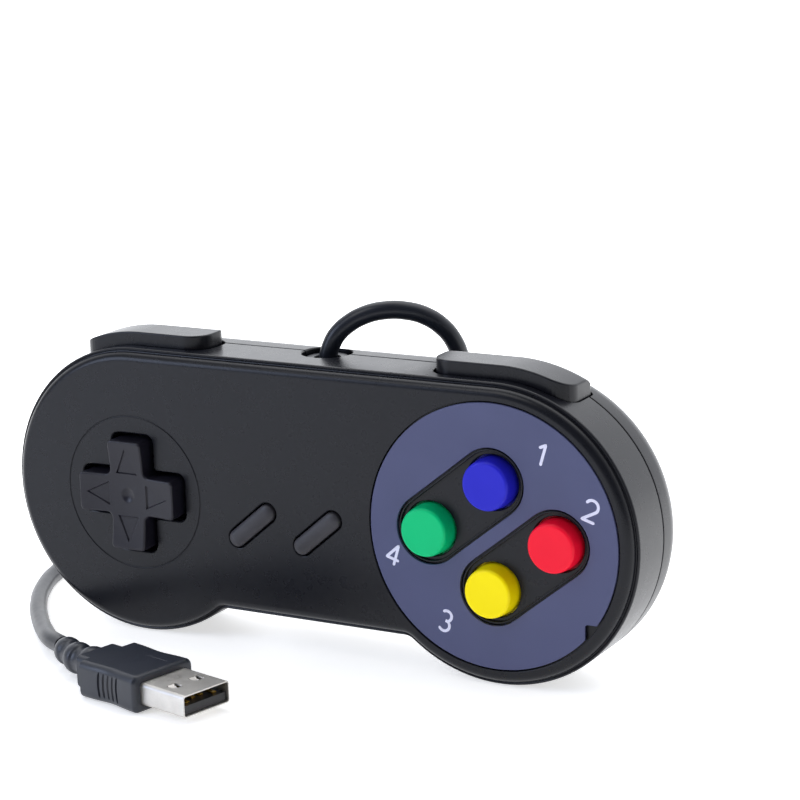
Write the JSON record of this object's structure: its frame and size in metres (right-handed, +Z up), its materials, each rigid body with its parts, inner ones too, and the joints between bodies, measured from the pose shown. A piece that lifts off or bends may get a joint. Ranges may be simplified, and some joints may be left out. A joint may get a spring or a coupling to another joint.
{
  "type": "wired gamepad",
  "caption": "Wired gamepad in two round-ended half shells, with four-way pad, round face buttons, pill buttons, hinged shoulder buttons and a cord ending in a USB-A plug.",
  "frame": {"origin": "on the floor under the middle of the case, which stands on its two round lobes", "axes": "+X to the right as the player sees the face, +Y to the back of the case, +Z up; the face looks towards -Y"},
  "size_m": [0.1547, 0.129, 0.0711],
  "materials": {
    "case_black": "fine satin texture",
    "plate_lavender": "satin",
    "control_black": "satin",
    "button_green": "semi-gloss",
    "button_blue": "semi-gloss",
    "button_red": "semi-gloss",
    "button_yellow": "semi-gloss",
    "pill_rubber": "matt",
    "membrane_rubber": "matt",
    "circuit_board": "solder mask",
    "chip_black": "moulded",
    "white_plastic": "moulded",
    "ribbon": "film",
    "steel": "plated",
    "gold_contact": "gold plated",
    "cord_black": "smooth satin jacket",
    "plug_plastic": "satin moulding",
    "tongue_black": "moulded"
  },
  "bodies": {
    "case": {"front_shell": "case_black", "back_shell": "case_black", "case_screw_1": "steel", "case_screw_2": "steel", "case_screw_3": "steel", "case_screw_4": "steel", "case_screw_5": "steel", "button_plate": "plate_lavender", "face_button_membrane": "membrane_rubber", "menu_membrane": "membrane_rubber", "dpad_membrane": "membrane_rubber", "left_shoulder_pin": "steel", "left_shoulder_board": "circuit_board", "left_shoulder_switch": "chip_black", "left_shoulder_ribbon": "ribbon", "right_shoulder_pin": "steel", "right_shoulder_board": "circuit_board", "right_shoulder_switch": "chip_black", "right_shoulder_ribbon": "ribbon", "main_board": "circuit_board", "controller_chip": "chip_black", "clock_crystal": "steel", "filter_capacitor": "chip_black", "cord_socket": "white_plastic", "lead_connector": "white_plastic", "inner_lead": "cord_black", "cord_grommet": "cord_black", "cord_lead": "cord_black", "cord_tail": "cord_black", "cord_coil": "cord_black", "coil_tie": "cord_black", "usb_plug_body": "plug_plastic", "usb_plug_shell": "steel", "usb_plug_insulator": "tongue_black", "usb_contact_1": "gold_contact", "usb_contact_2": "gold_contact", "usb_contact_3": "gold_contact", "usb_contact_4": "gold_contact"},
    "dpad_gimbal": {"dpad_pivot_ball": "steel"},
    "dpad": {"dpad": "control_black"},
    "green_button": {"green_button": "button_green"},
    "blue_button": {"blue_button": "button_blue"},
    "red_button": {"red_button": "button_red"},
    "yellow_button": {"yellow_button": "button_yellow"},
    "select_button": {"select_button": "pill_rubber"},
    "start_button": {"start_button": "pill_rubber"},
    "left_shoulder": {"left_shoulder_button": "case_black"},
    "right_shoulder": {"right_shoulder_button": "case_black"}
  },
  "joints": [
    {"name": "dpad_up_down", "type": "hinge", "parent": "case", "child": "dpad_gimbal", "pos_m": [-0.0416, -0.0025, 0.0304], "axis": [1, 0, 0], "range_deg": [-4.5, 4.5], "stiffness_Nm_per_rad": 0.2},
    {"name": "dpad_left_right", "type": "hinge", "parent": "dpad_gimbal", "child": "dpad", "pos_m": [-0.0416, -0.0025, 0.0304], "axis": [0, 0, 1], "range_deg": [-4.5, 4.5], "stiffness_Nm_per_rad": 0.2},
    {"name": "green_button_press", "type": "slide", "parent": "case", "child": "green_button", "axis": [0, 1, 0], "range_m": [0, 0.0014], "stiffness_N_per_m": 800, "springref_m": -0.0004},
    {"name": "blue_button_press", "type": "slide", "parent": "case", "child": "blue_button", "axis": [0, 1, 0], "range_m": [0, 0.0014], "stiffness_N_per_m": 800, "springref_m": -0.0004},
    {"name": "red_button_press", "type": "slide", "parent": "case", "child": "red_button", "axis": [0, 1, 0], "range_m": [0, 0.0014], "stiffness_N_per_m": 800, "springref_m": -0.0004},
    {"name": "yellow_button_press", "type": "slide", "parent": "case", "child": "yellow_button", "axis": [0, 1, 0], "range_m": [0, 0.0014], "stiffness_N_per_m": 800, "springref_m": -0.0004},
    {"name": "select_button_press", "type": "slide", "parent": "case", "child": "select_button", "axis": [0, 1, 0], "range_m": [0, 0.0012], "stiffness_N_per_m": 900, "springref_m": -0.0004},
    {"name": "start_button_press", "type": "slide", "parent": "case", "child": "start_button", "axis": [0, 1, 0], "range_m": [0, 0.0012], "stiffness_N_per_m": 900, "springref_m": -0.0004},
    {"name": "left_shoulder_press", "type": "hinge", "parent": "case", "child": "left_shoulder", "pos_m": [-0.051, 0, 0.0514], "axis": [0, 1, 0], "range_deg": [0, 3.5], "stiffness_Nm_per_rad": 0.6, "springref_deg": -1.15},
    {"name": "right_shoulder_press", "type": "hinge", "parent": "case", "child": "right_shoulder", "pos_m": [0.051, 0, 0.0514], "axis": [0, -1, 0], "range_deg": [0, 3.5], "stiffness_Nm_per_rad": 0.6, "springref_deg": -1.15}
  ]
}
